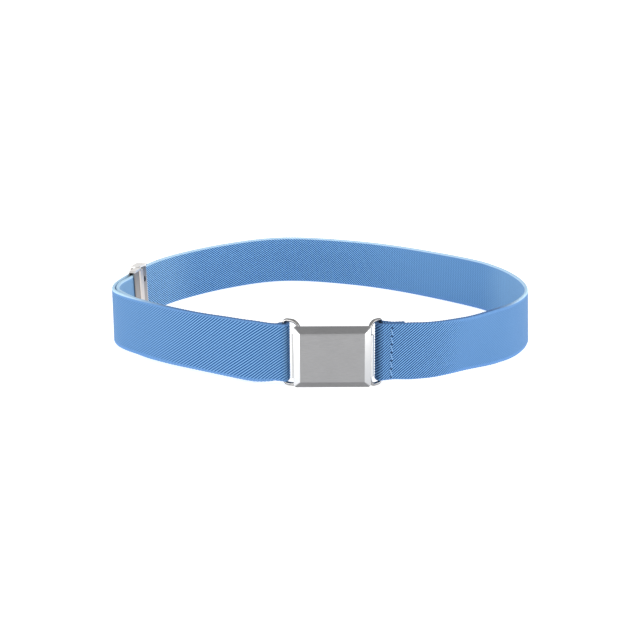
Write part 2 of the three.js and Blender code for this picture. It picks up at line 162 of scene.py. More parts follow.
# How the strap stands: its lower edge slopes up from the back to the buckle, which reaches lower than it.
# It leans back at the buckle, leans out at the front left and the right end, bulges out a little at the
# right end, and is drawn in where a ring gathers it. Each spot gives its place, how far round it the strap
# is moved fully, where the move ends, and how far the strap is lowered or its lower edge moved along X and Y.
EDGE_SLOPE = (0.913, -0.00488, -0.01303)  # at the origin, and per millimetre along X and Y
RIGHT_END = ((98, -14), 26, 62)
RIGHT_END_OUT = 1.0
LOWERED = [
    ((-15, -70), 10, 26, 0.38),
    ((25, -70), 10, 26, 0.18),
    ((62, -60), 16, 42, 0.75),
    ((95, -20), 24, 50, 1),
]
LEANING = [
    ((5, -71.8), 34, 80, (0, -3.1)),
    ((52, -65.3), 10, 30, (-0.8, 3.92)),
    ((-82.9, -47.3), 10, 40, (-2.58, -1.5)),
    (*RIGHT_END, (1.7, -0.2)),
]
PINCH = 0.05  # how much narrower the strap is there, as a share of its width
PINCH_REACH = (4, 14)  # from the ring's leg
INNER_DROP = 1.45  # how much lower the inner layer hangs between the left ring and the left end
INNER_DROP_STARTS, INNER_DROP_ENDS = (1, 10), (68, 96)  # along the inner layer, from the left ring


def nearness(x, y, spot, full, none):
    """1 up to the distance full from the spot, 0 from the distance none."""
    return 1 - smoothstep(np.hypot(x - spot[0], y - spot[1]), full, none)


def settled(x, y, z):
    """Where points of an upright, level strap come to stand in the closed belt."""
    slope = EDGE_SLOPE[0] + EDGE_SLOPE[1] * x + EDGE_SLOPE[2] * y
    lowered = np.max([down * nearness(x, y, *spot) for *spot, down in LOWERED], axis=0)
    gathered = np.maximum(nearness(x, y, right_leg, *PINCH_REACH), nearness(x, y, left_leg, *PINCH_REACH))
    narrower = PINCH * gathered * (STRAP_WIDTH / 2 - z)
    level = z + np.maximum(0, slope - lowered) + narrower
    x = x + RIGHT_END_OUT * nearness(x, y, *RIGHT_END)
    for spot, full, none, (out_x, out_y) in LEANING:
        share = nearness(x, y, spot, full, none) * (0.5 - z / STRAP_WIDTH)
        x, y = x + out_x * share, y + out_y * share
    return np.stack([x, y, level], axis=-1)


def on_strap(along, height, out):
    """Points of the strap: distance from its tail, height on its width, distance from its middle layer."""
    place = [np.interp(along, middle_lengths, middle_line[:, k]) for k in (0, 1)]
    normal = [np.interp(along, middle_lengths, middle_normals[:, k]) for k in (0, 1)]
    points = settled(place[0] + normal[0] * out, place[1] + normal[1] * out, height)
    from_left_ring = along - INNER_START
    points[..., 2] -= INNER_DROP * smoothstep(from_left_ring, *INNER_DROP_STARTS) * (
        1 - smoothstep(from_left_ring, *INNER_DROP_ENDS))
    return points


def mesh_piece(name, points, faces, material):
    """A smooth mesh object from points in millimetres."""
    mesh = bpy.data.meshes.new(name)
    mesh.from_pydata((np.asarray(points, float) * MM).tolist(), [], faces)
    mesh.polygons.foreach_set("use_smooth", [True] * len(mesh.polygons))
    mesh.update()
    mesh.materials.append(material)
    piece = bpy.data.objects.new(name, mesh)
    bpy.context.scene.collection.objects.link(piece)
    return piece


# The ribs lie closer where the strap is less stretched, beside the right ring: distance from the right ring,
# and from rib to rib along the strap.
RIB_ALONG = ([0, 60, 140, 260], [1.3, 1.32, 1.5, 1.56])
RIB_RISE = 1.2  # from rib to rib across the strap
RIB_HEIGHT = 0.16
COLUMNS_PER_RIB = 4
SELVEDGE = 1.0
FIRST_ROW, FACE_ROWS = 0.7, 21
EDGE_ROUND = ((0.12, 0.62), (0, 0), (0.12, -0.62))  # how far in from the edge, and the side of the strap
SCALLOP = 0.07  # how far the weft stands out along the edges
FINE_STEPS = 4000

fine_steps = np.linspace(0, STRAP_LENGTH, FINE_STEPS)
fine_ribs = np.interp(fine_steps - OUTER_START, *RIB_ALONG)
fine_turns = np.concatenate([[0], np.cumsum(np.diff(fine_steps) * 2 / (fine_ribs[1:] + fine_ribs[:-1]))])
columns = round(fine_turns[-1] * COLUMNS_PER_RIB)
column_turns = np.arange(columns + 1) / COLUMNS_PER_RIB
column_steps = np.interp(column_turns * fine_turns[-1] / column_turns[-1], fine_turns, fine_steps)
face_rows = [FIRST_ROW + RIB_RISE * k for k in range(FACE_ROWS)]
# Each row: height on the strap, side of the strap, and how many columns it is shifted along from the row
# before, so that the faces follow the ribs.
section = [(height, 1, COLUMNS_PER_RIB * (k > 0)) for k, height in enumerate(face_rows)]
section += [(STRAP_WIDTH - inward, side, 0) for inward, side in EDGE_ROUND]
section += [(height, -1, -COLUMNS_PER_RIB * (k > 0)) for k, height in enumerate(reversed(face_rows))]
section += [(inward, -side, 0) for inward, side in EDGE_ROUND]

# The ribs nearly vanish where the strap is drawn tight round the right end and round the left end: distance
# from the right ring, and how flat they are there. Less than 0 is sharper than elsewhere.
RIB_FLAT = (
    [0, 24, 30, 37, 175, 200, 235, 350, 385, 410, 436, 455, 545, 570],
    [-0.7, -0.6, 0, 0.9, 0.95, 0.5, -0.7, -0.7, 0.8, 1, 0.5, 0, 0, 0.95])
FLATTEST = 0.85  # how much of the ribs' relief and contrast is gone where they are quite flat
MOST_RELIEF = 1.15
ends_flat = np.interp(column_steps - OUTER_START, *RIB_FLAT)


def rib_strength(height):
    """How strong the ribs are at each column; they fade out toward the selvedges."""
    from_edge = min(height, STRAP_WIDTH - height)
    relief = np.minimum(MOST_RELIEF, 1 - FLATTEST * ends_flat)
    return relief * smoothstep(from_edge, SELVEDGE * 0.6, SELVEDGE * 1.5)


BACK_STARTS, BACK_IS_REACHED = -62, -20  # along Y
strap_points = []
# Three maps for the finish: where a point lies in the weave, at which turn of the ribs and how flat they are,
# and how far toward the back of the belt and on which side of the strap.
places = {"weave": [], "ribs": [], "rims": []}
for height, side, _ in section:
    half = STRAP_THICKNESS / 2
    if abs(side) == 1:
        crest = np.cos(2 * math.pi * (column_turns - height / RIB_RISE)) / 2
        rise = half + RIB_HEIGHT * rib_strength(height) * crest
        level = np.full(columns + 1, height)
    else:
        rise = half
        scallop = SCALLOP * np.cos(2 * math.pi * column_turns)
        level = height + scallop * (1 if height < SELVEDGE else -1)
    row_points = on_strap(column_steps, level, side * rise)
    strap_points.append(row_points)
    toward_back = smoothstep(row_points[:, 1], BACK_STARTS, BACK_IS_REACHED)
    places["weave"].append(np.stack([column_steps, level], axis=1))
    places["ribs"].append(np.stack([column_turns - level / RIB_RISE, ends_flat], axis=1))
    places["rims"].append(np.stack([toward_back, np.full(columns + 1, side)], axis=1))
strap_points = np.vstack(strap_points)

rows, wide = len(section), columns + 1
strap_faces = []
for row in range(rows):
    next_row = (row + 1) % rows
    shift = section[next_row][2]
    skipped = abs(shift)
    low, high = row * wide, next_row * wide
    low_end, high_end = low + wide - 1, high + wide - 1
    for k in range(wide - 1 - skipped):
        under = low + max(-shift, 0) + k
        over = high + max(shift, 0) + k
        strap_faces.append((under, under + 1, over + 1, over))
    # The corners that the shift leaves open at both ends are closed with fans.
    for k in range(skipped):
        if shift > 0:
            strap_faces.append((low, high + k + 1, high + k))
            strap_faces.append((high_end, low_end - skipped + k, low_end - skipped + k + 1))
        else:
            strap_faces.append((high, low + k, low + k + 1))
            strap_faces.append((low_end, high_end - skipped + k + 1, high_end - skipped + k))
for end, way in ((0, 1), (wide - 1, -1)):
    cut = [row * wide + end for row in range(rows)]
    outer_side = cut[:FACE_ROWS]
    over = cut[FACE_ROWS:FACE_ROWS + len(EDGE_ROUND)]
    inner_side = cut[FACE_ROWS + len(EDGE_ROUND):-len(EDGE_ROUND)][::-1]
    under = cut[-len(EDGE_ROUND):]
    strips = [(*outer_side[k:k + 2], *inner_side[k:k + 2][::-1]) for k in range(FACE_ROWS - 1)]
    strips += [(outer_side[-1], *over, inner_side[-1]), (inner_side[0], *under, outer_side[0])]
    strap_faces += [strip[::-way] for strip in strips]


class Shade:
    """One output of a material's node, which can be added, subtracted and multiplied."""

    def __init__(self, tree, socket):
        self.tree = tree
        self.socket = socket

    def node(self, kind, settings, inputs, output=0):
        """Adds a node of any kind, with its settings first, and gives one of its outputs."""
        made = self.tree.nodes.new(kind)
        for name, value in settings.items():
            setattr(made, name, value)
        for name, value in inputs.items():
            if isinstance(value, Shade):
                self.tree.links.new(value.socket, made.inputs[name])
            else:
                made.inputs[name].default_value = value
        return Shade(self.tree, made.outputs[output])

    def math(self, operation, *values):
        return self.node("ShaderNodeMath", {"operation": operation}, dict(enumerate(values)))

    def __add__(self, other):
        return self.math("ADD", self, other)

    __radd__ = __add__

    def __sub__(self, other):
        return self.math("SUBTRACT", self, other)

    def __rsub__(self, other):
        return self.math("SUBTRACT", other, self)

    def __mul__(self, other):
        return self.math("MULTIPLY", self, other)

    __rmul__ = __mul__

    def between(self, low, high):
        """0 under low, 1 over high, smooth in between."""
        settings = {"interpolation_type": "SMOOTHSTEP"}
        return self.node("ShaderNodeMapRange", settings, {"Value": self, "From Min": low, "From Max": high})

    def blend(self, first, second):
        """From the first colour to the second as this goes from 0 to 1."""
        return self.node("ShaderNodeMix", {"data_type": "RGBA"}, {0: self, 6: first, 7: second}, 2)

    def part(self, which):
        """The first, second or third number of a place."""
        return self.node("ShaderNodeSeparateXYZ", {}, {0: self}, which)

    def noise(self, place, scale, detail=2.0, roughness=0.5):
        return self.node("ShaderNodeTexNoise", {}, {
            "Vector": place, "Scale": scale, "Detail": detail, "Roughness": roughness})

    def bump(self, strength, distance):
        """A normal from this as relief; the distance is in millimetres."""
        return self.node("ShaderNodeBump", {}, {
            "Strength": strength, "Distance": distance * MM, "Height": self})


def new_finish(name, **values):
    """A material with one shader: gives the material, its shader and a Shade to start from."""
    material = bpy.data.materials.new(name)
    material.use_nodes = True
    shader = material.node_tree.nodes["Principled BSDF"]
    for socket, value in values.items():
        shader.inputs[socket.replace("_", " ")].default_value = value
    return material, shader, Shade(material.node_tree, None)


def feed(shader, socket, value):
    """Links a Shade to a named socket of a shader."""
    value.tree.links.new(value.socket, shader.inputs[socket])


STITCH_FROM_RING = 3.9  # the row of sewing through the strap, beside the right ring
STITCH_START = 1.3
STITCH_LENGTH = 3.7
HOLE_RADIUS, HOLE_EDGE = 0.25, 0.4
EDGE_THREAD = 0.78  # from thread to thread along the selvedge
# The grooves' blues are nearly black: painted shade in the grooves.
RIDGE_BLUE = (0.17, 0.355, 0.625, 1)
GROOVE_SHADE_BLUE = (0.002, 0.06, 0.21, 1)
SHARP_RIDGE_BLUE = (0.165, 0.37, 0.675, 1)
SHARP_GROOVE_SHADE_BLUE = (0.0005, 0.03, 0.13, 1)
# The inner face's blues are a paler, more contrasted copy: painted light on the inside of the strap.
INNER_LIT_RIDGE_BLUE = (0.205, 0.455, 0.795, 1)
INNER_GROOVE_SHADE_BLUE = (0.001, 0.04, 0.165, 1)
SELVEDGE_BLUE = (0.17, 0.36, 0.66, 1)
SELVEDGE_DARK = (0.06, 0.16, 0.38, 1)
# The rim's pale blue is a painted highlight, its dark blue painted shade.
RIM_PAINTED_HIGHLIGHT = (0.55, 0.78, 0.95, 1)
RIM_PAINTED_SHADE = (0.05, 0.12, 0.28, 1)
HOLE_SHADE_DARK = (0.002, 0.02, 0.07, 1)
# Painted shade for the right fold, and a lighter blue for painted light on the strap's inside.
FOLD_SHADE_DARK = (0.004, 0.03, 0.10, 1)
PAINTED_LIGHT_PALE = (0.45, 0.72, 0.92, 1)
EVEN_TONE = 0.52  # between groove and ridge, where the ribs are flat
FOLD_SHADE_REACH = (1.8, 3.4)  # from the middle of the right fold
PALE_RIGHT_END = ((80, 100), (122, 145))  # from the right ring
PALE_BESIDE_SLIDE = (ROUTE_LENGTH - 182, ROUTE_LENGTH - 155)
PALE_INNER_LAYER = (INNER_START + 40, INNER_START + 65)

elastic, elastic_shader, start = new_finish(
    "woven_elastic", Roughness=0.85, Specular_IOR_Level=0.25, Sheen_Weight=0.08, Sheen_Roughness=0.4)
woven_at, ribbed_at, rims_at = [
    start.node("ShaderNodeUVMap", {"uv_map": map_name}, {}) for map_name in ("weave", "ribs", "rims")]
across, up = woven_at.part(0), woven_at.part(1)
rib_turn, flatter = ribbed_at.part(0), ribbed_at.part(1)
toward_back = rims_at.part(0)
inside = 1 - rims_at.part(1).between(-0.5, 0.5)
from_ring = across - OUTER_START

# The face: ridges and grooves of the twill, or upright lines inside where it is drawn tight.
rib = start.math("COSINE", rib_turn * (2 * math.pi)) * 0.5 + 0.5
in_from_edge = start.math("MINIMUM", up, STRAP_WIDTH - up)
ribbed = (in_from_edge - flatter * 0.7).between(SELVEDGE * 0.5, SELVEDGE * 1.3)
mottle = start.noise(woven_at, 0.9, 3.0)
fibre = start.noise(start.node("ShaderNodeMapping", {}, {"Vector": woven_at, "Scale": (5, 9, 1)}), 1.0, 2.0)
ridge = rib.between(0.2, 0.8) * (0.9 + mottle * 0.2) + (fibre - 0.5) * 0.12
ridge = ridge + (EVEN_TONE - ridge) * flatter * FLATTEST
upright_lines = start.math("COSINE", (rib_turn + up * (1 / RIB_RISE)) * (2 * math.pi))
ridge = ridge + inside * flatter.between(0.1, 0.6) * upright_lines * (fibre - 0.2) * 0.16
sharper = (0 - flatter).between(0, 0.7)
# The grooves are painted far darker than the ridges: painted shade in the grooves, over the ribs' real
# relief.
outer_blue = ridge.blend(
    sharper.blend(GROOVE_SHADE_BLUE, SHARP_GROOVE_SHADE_BLUE), sharper.blend(RIDGE_BLUE, SHARP_RIDGE_BLUE))
# Inside, the same twill is painted lighter: painted light on the inner face.
inner_lit_blue = ridge.blend(INNER_GROOVE_SHADE_BLUE, INNER_LIT_RIDGE_BLUE)

# Where the needle went through beside the right ring, painted as dark spots: painted shade in place of holes.
hole_across = from_ring - STITCH_FROM_RING
hole_up = start.math("PINGPONG", up - STITCH_START, STITCH_LENGTH / 2)
from_hole = start.math("SQRT", hole_across * hole_across + hole_up * hole_up)
hole = (1 - from_hole.between(HOLE_RADIUS, HOLE_RADIUS + HOLE_EDGE)) * (1 - inside)
ribs_blue = (hole * 0.85).blend(inside.blend(outer_blue, inner_lit_blue), HOLE_SHADE_DARK)

# The selvedges, and the rim along the top, which is painted dark at the front as painted shade
# and pale at the back as a painted highlight.
edge_threads = start.math("SINE", across * (2 * math.pi / EDGE_THREAD)) * 0.5 + 0.5
edge_blue = (edge_threads * 0.5 + fibre * 0.4).blend(SELVEDGE_DARK, SELVEDGE_BLUE)
on_rim = (up + toward_back * 0.55).between(STRAP_WIDTH - 0.5, STRAP_WIDTH - 0.1)
rim_light_and_shade_blue = toward_back.between(0.05, 0.9).blend(RIM_PAINTED_SHADE, RIM_PAINTED_HIGHLIGHT)

# Painted shade darkens the threads round the middle of the right fold. Painted light makes them lighter
# inside the right end, inside beside the slide, and on the inner layer there.
fold_shade = 1 - start.math("ABSOLUTE", across - RIGHT_FOLD_MIDDLE).between(*FOLD_SHADE_REACH)
face_blue = (fold_shade * 0.45).blend(ribbed.blend(edge_blue, ribs_blue), FOLD_SHADE_DARK)
right_end_starts, right_end_ends = [from_ring.between(*reach) for reach in PALE_RIGHT_END]
right_end = inside * right_end_starts * (1 - right_end_ends)
beside_slide = inside * from_ring.between(*PALE_BESIDE_SLIDE)
inner_layer = (1 - inside) * across.between(*PALE_INNER_LAYER)
painted_light_share = right_end * 0.14 + beside_slide * 0.12 + inner_layer * 0.24
feed(elastic_shader, "Base Color", (on_rim * 0.8).blend(painted_light_share.blend(face_blue, PAINTED_LIGHT_PALE), rim_light_and_shade_blue))
rib_relief = rib * ribbed * (1 - flatter * FLATTEST) * 0.6
edge_relief = edge_threads * (1 - ribbed) * 0.3
feed(elastic_shader, "Normal", (rib_relief + edge_relief + fibre * 0.2 - hole * 1.5).bump(0.5, 0.12))
feed(elastic_shader, "Roughness", 0.72 + mottle * 0.2)

strap = mesh_piece("woven_strap", strap_points, strap_faces, elastic)
corner_points = np.empty(len(strap.data.loops), int)
strap.data.loops.foreach_get("vertex_index", corner_points)
for map_name, row_places in places.items():
    corners = strap.data.uv_layers.new(name=map_name)
    corners.data.foreach_set("uv", np.vstack(row_places)[corner_points].ravel())
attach(strap, "belt")
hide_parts("elastic_strap")


# The wire rings: each bent from round steel wire into a tall loop with rounded corners and plated bright.
# One leg lies in the strap's fold, the other in a rolled knuckle of the buckle.

WIRE_RADIUS, WIRE_SIDES = 0.8, 20
RING_REACH = 7.4
RING_HEIGHT = 28.5
RING_CORNER = 1.7
KNUCKLE_CORNER = 3.6  # the wire bends more gently beside the buckle
RING_CENTRE_Z = 14.15
RIGHT_KNUCKLE_X = 20.3
LEFT_KNUCKLE_X = -8.5
BUCKLE_LEAN = math.atan2(3.1, STRAP_WIDTH)


def rounded_rectangle(width, height, right_corner, left_corner=None, corner_steps=8):
    """Points of a rounded rectangle about the origin, counter-clockwise."""
    points = []
    for turn, (right, top) in enumerate(((1, -1), (1, 1), (-1, 1), (-1, -1))):
        corner = right_corner if right > 0 or left_corner is None else left_corner
        middle = (right * (width / 2 - corner), top * (height / 2 - corner))
        for k in range(corner_steps + 1):
            angle = math.pi / 2 * (turn - 1 + k / corner_steps)
            points.append((middle[0] + corner * math.cos(angle), middle[1] + corner * math.sin(angle)))
    return np.array(points)


def round_wire(name, points, radius, closed, material, sides):
    """A round wire or thread along points in space."""
    if closed:
        along = np.roll(points, -1, axis=0) - np.roll(points, 1, axis=0)
    else:
        along = np.gradient(points, axis=0)
    along /= np.linalg.norm(along, axis=1)[:, None]
    flat = np.linalg.svd(points - points.mean(0))[2][2]
    sideways = np.cross(along, flat)
    sideways /= np.linalg.norm(sideways, axis=1)[:, None]
    turns = 2 * math.pi * np.arange(sides)[None, :, None] / sides
    around = np.cos(turns) * sideways[:, None] + np.sin(turns) * flat
    skin = (points[:, None] + radius * around).reshape(-1, 3)
    count = len(points)
    faces = []
    for k in range(count if closed else count - 1):
        here, there = k * sides, (k + 1) % count * sides
        for turn in range(sides):
            beside = (turn + 1) % sides
            faces.append((here + turn, here + beside, there + beside, there + turn))
    if not closed:
        faces.append(tuple(range(sides))[::-1])
        faces.append(tuple(range((count - 1) * sides, count * sides)))
    piece = mesh_piece(name, skin, faces, material)
    face_outward(piece)
    return piece


def face_outward(piece):
    """Turns all faces of a closed piece outward."""
    bm = bmesh.new()
    bm.from_mesh(piece.data)
    bmesh.ops.recalc_face_normals(bm, faces=bm.faces)
    bm.to_mesh(piece.data)
    bm.free()


WIRE_DARK, WIRE_LIGHT = (0.23, 0.225, 0.22, 1), (0.40, 0.395, 0.39, 1)
OBJECT_PLACE = 3  # the output of a Texture Coordinate node that gives places on the object
bright_wire, wire_shader, start = new_finish("bright_wire", Metallic=1.0, Roughness=0.16)
smudge = start.noise(start.node("ShaderNodeTexCoord", {}, {}, OBJECT_PLACE), 900.0, 3.0)
feed(wire_shader, "Base Color", smudge.between(0.25, 0.75).blend(WIRE_DARK, WIRE_LIGHT))
feed(wire_shader, "Roughness", 0.1 + smudge * 0.18)


def lean_back(piece):
    """Leans a piece of the buckle back with the strap, about the middle of the ring legs."""
    about = Matrix.Translation(Vector((0, right_leg[1], RING_CENTRE_Z)) * MM)
    piece.data.transform(about @ Matrix.Rotation(-BUCKLE_LEAN, 4, "X") @ about.inverted())


def knuckle_at(leg, x):
    """Where the ring's other leg stands in its knuckle, at this X."""
    return np.array([x, leg[1] - math.sqrt(RING_REACH**2 - (leg[0] - x)**2)])


right_knuckle = knuckle_at(right_leg, RIGHT_KNUCKLE_X)
left_knuckle = knuckle_at(left_leg, LEFT_KNUCKLE_X)
for name, leg, knuckle, node, slot in (
        ("right_wire_ring", right_leg, right_knuckle, "right_ring", "right_wire"),
        ("left_wire_ring", left_leg, left_knuckle, "left_ring", "left_wire")):
    outline = rounded_rectangle(RING_REACH, RING_HEIGHT - 2 * WIRE_RADIUS, RING_CORNER, KNUCKLE_CORNER)
    toward = (leg - knuckle) / RING_REACH
    centre = (leg + knuckle) / 2
    ring_points = np.column_stack([
        centre[0] + outline[:, 0] * toward[0],
        centre[1] + outline[:, 0] * toward[1],
        RING_CENTRE_Z + outline[:, 1]])
    ring = round_wire(name, ring_points, WIRE_RADIUS, True, bright_wire, WIRE_SIDES)
    lean_back(ring)
    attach(ring, "belt")
    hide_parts(node)


# The buckle's front half: a rectangle of steel sheet, pressed into a shallow tray with wide bevels, its right
# edge rolled into a knuckle round the ring's leg, and finely brushed. It is made in the buckle's own frame
# (width, height, and depth forward from the tray's rim) and then stood up at the front of the belt.

BUCKLE_X, BUCKLE_Z = 5, RING_CENTRE_Z - 0.65
RIM_Y = -76.7
PLATE_WIDTH, PLATE_HEIGHT, PLATE_CORNER = 31.6, 25.5, 1.2
CHAMFER_WIDTH, CHAMFER_DEPTH, RIM_DEPTH, PLATE_WALL = 2.7, 2.2, 0.8, 0.8
KNUCKLE_LENGTH, KNUCKLE_BORE, KNUCKLE_RADIUS = 17.5, 1.1, 1.7


def stacked(name, levels, material, corner_steps=5):
    """A closed skin through rounded rectangles: how far each is drawn in, its depth and its corner."""
    count = 4 * (corner_steps + 1)
    points, faces = [], []
    for drawn_in, depth, corner in levels:
        outline = rounded_rectangle(
            PLATE_WIDTH - 2 * drawn_in, PLATE_HEIGHT - 2 * drawn_in, corner, corner_steps=corner_steps)
        points += [(x, z, depth) for x, z in outline]
    for level in range(len(levels) - 1):
        for k in range(count):
            beside = (k + 1) % count
            here, there = level * count, (level + 1) * count
            faces.append((here + k, here + beside, there + beside, there + k))
    faces.append(tuple(range(count))[::-1])
    faces.append(tuple(range((len(levels) - 1) * count, len(levels) * count)))
    piece = mesh_piece(name, points, faces, material)
    face_outward(piece)
    return piece


def stand_at_buckle(piece):
    """Turns the mesh of a piece made in the buckle's frame up to face forward."""
    moved = Matrix.Translation(Vector((BUCKLE_X, RIM_Y, BUCKLE_Z)) * MM)
    piece.data.transform(moved @ Matrix.Rotation(math.pi / 2, 4, "X"))
    lean_back(piece)


def extruded(name, outline, low, high, material):
    """A closed solid: an outline in the first two axes, drawn along the third."""
    count = len(outline)
    points = [(x, y, z) for z in (low, high) for x, y in outline]
    faces = [tuple(range(count))[::-1], tuple(range(count, 2 * count))]
    faces += [(k, (k + 1) % count, count + (k + 1) % count, count + k) for k in range(count)]
    piece = mesh_piece(name, points, faces, material)
    face_outward(piece)
    return piece


def rolled_sheet(centre, start_angle, end_angle, lead, thickness, steps=26):
    """Outline of a sheet that comes straight in from the lead point and rolls round the centre."""
    middle = KNUCKLE_BORE + thickness / 2
    turns = np.radians(np.linspace(start_angle, end_angle, steps))
    roll = np.array(centre) + middle * np.stack([np.cos(turns), np.sin(turns)], axis=1)
    path = np.vstack([lead, roll])
    normal = left_normals(path)
    return np.vstack([path + normal * thickness / 2, (path - normal * thickness / 2)[::-1]])


def join_pieces(name, pieces):
    """Several pieces made into one."""
    with bpy.context.temp_override(
            active_object=pieces[0], selected_editable_objects=pieces, selected_objects=pieces):
        bpy.ops.object.join()
    pieces[0].name = pieces[0].data.name = name
    return pieces[0]


def soften_edges(piece, width, dissolve=False):
    """Rounds the sharp edges as tumbling does to stamped parts, and shades the broad faces flat."""
    if dissolve:
        planar = piece.modifiers.new("merge_flats", "DECIMATE")
        planar.decimate_type = "DISSOLVE"
        planar.angle_limit = math.radians(1)
    rounding = piece.modifiers.new("rounded_edges", "BEVEL")
    rounding.width = width * MM
    rounding.segments = 2
    rounding.limit_method = "ANGLE"
    rounding.angle_limit = math.radians(32)
    rounding.harden_normals = True


STEEL_ROUGHNESS = 0.3


def brushed(name, dark, light, streak, clouding=0.25):
    """Steel with fine straight streaks: gives the material, its shader and its tone.

    Streak is the stretch of its grain along the three axes, clouding the share of soft clouds in its tone.
    """
    material, shader, start = new_finish(name, Metallic=1.0, Roughness=STEEL_ROUGHNESS)
    place = start.node("ShaderNodeTexCoord", {}, {}, OBJECT_PLACE)
    grain_place = start.node("ShaderNodeMapping", {}, {"Vector": place, "Scale": streak})
    grain = start.noise(grain_place, 1.0, 4.0, 0.6)
    cloud = start.noise(place, 90.0, 2.0)
    tone = (grain * (1 - clouding) + cloud * clouding).between(0.25, 0.75).blend(dark, light)
    feed(shader, "Base Color", tone)
    feed(shader, "Roughness", STEEL_ROUGHNESS - 0.07 + grain * 0.14)
    feed(shader, "Normal", grain.bump(0.12, 0.02))
    return material, shader, tone


BRUSHED_ALONG = (400, 400, 9000)
PLATE_DARK, PLATE_LIGHT = (0.255, 0.255, 0.26, 1), (0.31, 0.31, 0.315, 1)
BEVEL_PAINTED_REFLECTION, BEVEL_PAINTED_SHADE = (0.66, 0.66, 0.66, 1), (0.17, 0.17, 0.175, 1)
plate_steel, plate_shader, brushed_tone = brushed("plate_steel", PLATE_DARK, PLATE_LIGHT, BRUSHED_ALONG)
# The side bevels are painted bright, a painted reflection, and the lower bevel painted dark, painted shade.
painted_bevel_light_at = brushed_tone.node("ShaderNodeUVMap", {"uv_map": "bevels"}, {})
bevel_painted_shade_tone = (painted_bevel_light_at.part(1) * 0.75).blend(brushed_tone, BEVEL_PAINTED_SHADE)
feed(plate_shader, "Base Color", painted_bevel_light_at.part(0).blend(bevel_painted_shade_tone, BEVEL_PAINTED_REFLECTION))

FACE_DEPTH = RIM_DEPTH + CHAMFER_DEPTH
tray = stacked("pressed_tray", [
    (PLATE_WALL + CHAMFER_WIDTH - 0.1, FACE_DEPTH - PLATE_WALL, 0.2),
    (PLATE_WALL + CHAMFER_WIDTH - 0.35, FACE_DEPTH - PLATE_WALL - 0.04, 0.25),
    (PLATE_WALL, RIM_DEPTH - PLATE_WALL + 0.25, 0.45),
    (PLATE_WALL, 0.1, 0.45),
    (PLATE_WALL - 0.1, 0.0, 0.5),
    (0.12, 0.0, PLATE_CORNER),
    (0.0, 0.12, PLATE_CORNER),
    (0.0, RIM_DEPTH - 0.1, PLATE_CORNER),
    (0.04, RIM_DEPTH + 0.05, PLATE_CORNER),
    (0.16, RIM_DEPTH + 0.16, PLATE_CORNER - 0.1),
    (CHAMFER_WIDTH - 0.2, FACE_DEPTH - 0.16, 0.35),
    (CHAMFER_WIDTH - 0.06, FACE_DEPTH - 0.04, 0.3),
    (CHAMFER_WIDTH + 0.1, FACE_DEPTH, 0.25),
    (CHAMFER_WIDTH + 0.9, FACE_DEPTH, 0.2),
], plate_steel)
# The bevels map gives each face of the tray its share of painted reflection (side bevels, the right one less)
# and of painted shade (lower bevel).
TILT_STARTS, TILT_FULL = 0.3, 0.5  # how far a face's direction tips before it counts as a bevel
RIGHT_BEVEL_PAINTED_REFLECTION, ROLL_PAINTED_REFLECTION = 0.52, 0.7
painted_bevel_light_map = tray.data.uv_layers.new(name="bevels")
for face in tray.data.polygons:
    outward = face.normal
    in_front = outward.z > TILT_STARTS
    painted_reflection = 1 if outward.x < 0 else RIGHT_BEVEL_PAINTED_REFLECTION
    sideways = smoothstep(abs(outward.x), TILT_STARTS, TILT_FULL) * in_front * painted_reflection
    downward = smoothstep(-outward.y, TILT_STARTS, TILT_FULL) * in_front
    for corner in face.loop_indices:
        painted_bevel_light_map.data[corner].uv = (sideways, downward)
stand_at_buckle(tray)

ROLL_STARTS, ROLL_ENDS = 100, -215  # degrees
right_roll_at = (right_knuckle[0] - BUCKLE_X, RIM_Y - right_knuckle[1])
roll_lead = (PLATE_WIDTH / 2 - 1.2, 0.45)
roll_outline = rolled_sheet(
    right_roll_at, ROLL_STARTS, ROLL_ENDS, roll_lead, KNUCKLE_RADIUS - KNUCKLE_BORE)
right_roll = extruded("right_roll", roll_outline, -KNUCKLE_LENGTH / 2, KNUCKLE_LENGTH / 2, plate_steel)
# The knuckle gets a share of the painted reflection too.
for corner in right_roll.data.uv_layers.new(name="bevels").data:
    corner.uv = (ROLL_PAINTED_REFLECTION, 0)
right_roll.data.transform(Matrix.Rotation(-math.pi / 2, 4, "X"))
right_roll.data.transform(Matrix.Scale(-1, 4, (0, 0, 1)))
face_outward(right_roll)
stand_at_buckle(right_roll)
front_half = join_pieces("pressed_front_plate", [tray, right_roll])
soften_edges(front_half, 0.08)
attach(front_half, "belt")
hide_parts("buckle_front_plate")


# The buckle's back half: a plain plate that nests in the tray, with its own knuckle for the left ring.
# Only its tab shows from the front, as a thin bright strip at the left. Its steel is painted about twice as
# pale as the front half's: painted light on that strip.

def finish_node(name, steel, edge):
    """Gives one of the frame's own pieces its steel and rounds its edges."""
    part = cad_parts[name]
    part.data.materials.clear()
    part.data.materials.append(steel)
    soften_edges(part, edge, dissolve=True)


BACK_DARK, BACK_LIGHT = (0.5, 0.5, 0.505, 1), (0.6, 0.6, 0.605, 1)
back_steel_painted_pale, _, _ = brushed("back_steel_painted_pale", BACK_DARK, BACK_LIGHT, BRUSHED_ALONG)
finish_node("buckle_back_plate", back_steel_painted_pale, 0.12)


# The slide adjuster: a plate folded up into two end walls, with a jaw across one end that holds the strap's
# end, and a toothed flap that turns on a pin between the walls and bites the strap.

